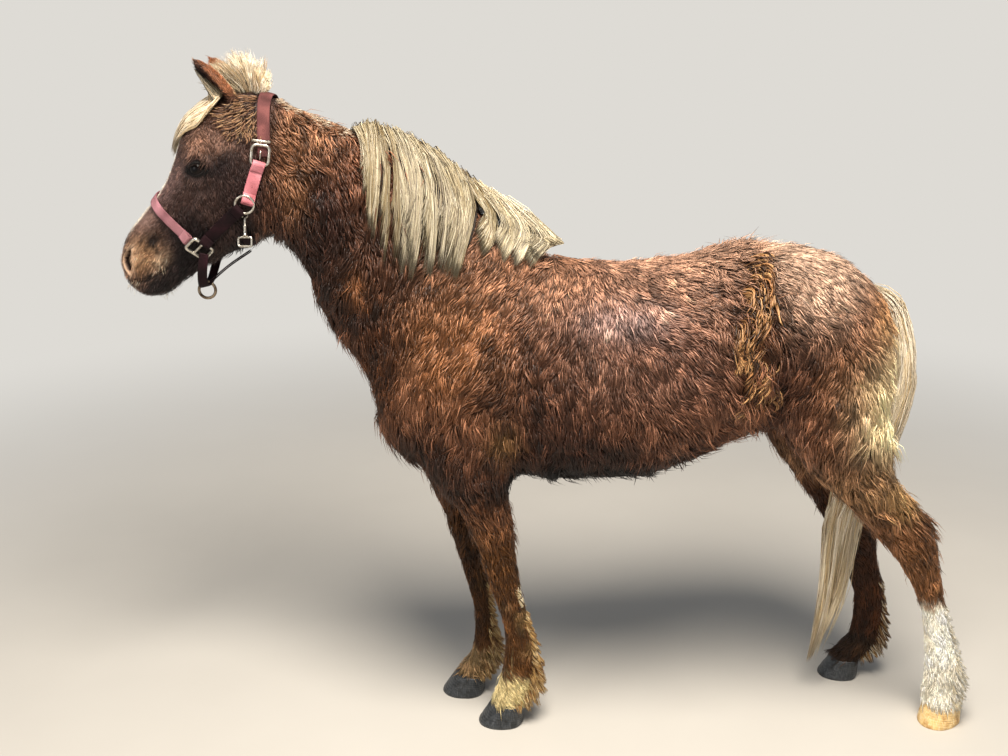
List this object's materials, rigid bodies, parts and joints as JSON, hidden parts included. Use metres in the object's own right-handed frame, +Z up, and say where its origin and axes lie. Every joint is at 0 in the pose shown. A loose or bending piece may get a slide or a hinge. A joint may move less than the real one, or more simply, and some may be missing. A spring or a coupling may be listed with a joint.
{
  "type": "shetland pony",
  "caption": "Standing Shetland pony as a still life-size model, chestnut winter coat with flaxen mane, forelock and tail and a white near hind sock, wearing a webbing halter without a lead.",
  "frame": {"origin": "on the floor under the middle of the bounding box, between the four hooves", "axes": "+Z up, the pony faces -X with its near (left) side towards -Y and its off (right) side towards +Y"},
  "size_m": [1.7866, 0.44, 1.432],
  "materials": {
    "coat": "shaggy chestnut winter hair with lighter and darker tufts, white on the near hind sock and the blaze",
    "flaxen_hair": "long straight pale straw hair with gold and dark streaks",
    "eye": "wet dark brown eye",
    "dark_horn": "dark slate hoof horn with growth rings and scratches",
    "pale_horn": "pale ochre hoof horn with growth rings",
    "webbing": "weathered coral webbing",
    "dark_webbing": "dark maroon webbing",
    "hardware": "worn nickel-plated hardware"
  },
  "bodies": {
    "root": {"head": "coat", "neck": "coat", "trunk": "coat", "near_forearm": "coat", "near_fore_cannon": "coat", "off_forearm": "coat", "off_fore_cannon": "coat", "near_thigh": "coat", "near_hind_cannon": "coat", "off_thigh": "coat", "off_hind_cannon": "coat", "near_ear": "coat", "off_ear": "coat", "mane": "flaxen_hair", "poll_brush": "flaxen_hair", "forelock": "flaxen_hair", "tail": "flaxen_hair", "near_eye": "eye", "off_eye": "eye", "near_fore_hoof": "dark_horn", "off_fore_hoof": "dark_horn", "off_hind_hoof": "dark_horn", "near_hind_hoof": "pale_horn", "halter_crown": "webbing", "halter_noseband": "webbing", "halter_near_cheekpiece": "webbing", "halter_off_cheekpiece": "webbing", "halter_near_lower_cheek": "dark_webbing", "halter_off_lower_cheek": "dark_webbing", "halter_throat": "dark_webbing", "halter_chin": "dark_webbing", "halter_jaw_strap": "dark_webbing", "halter_near_buckle": "hardware", "halter_off_buckle": "hardware", "halter_near_ring": "hardware", "halter_off_ring": "hardware", "halter_near_square": "hardware", "halter_off_square": "hardware", "halter_lead_ring": "hardware", "halter_throat_snap": "hardware"}
  },
  "joints": []
}
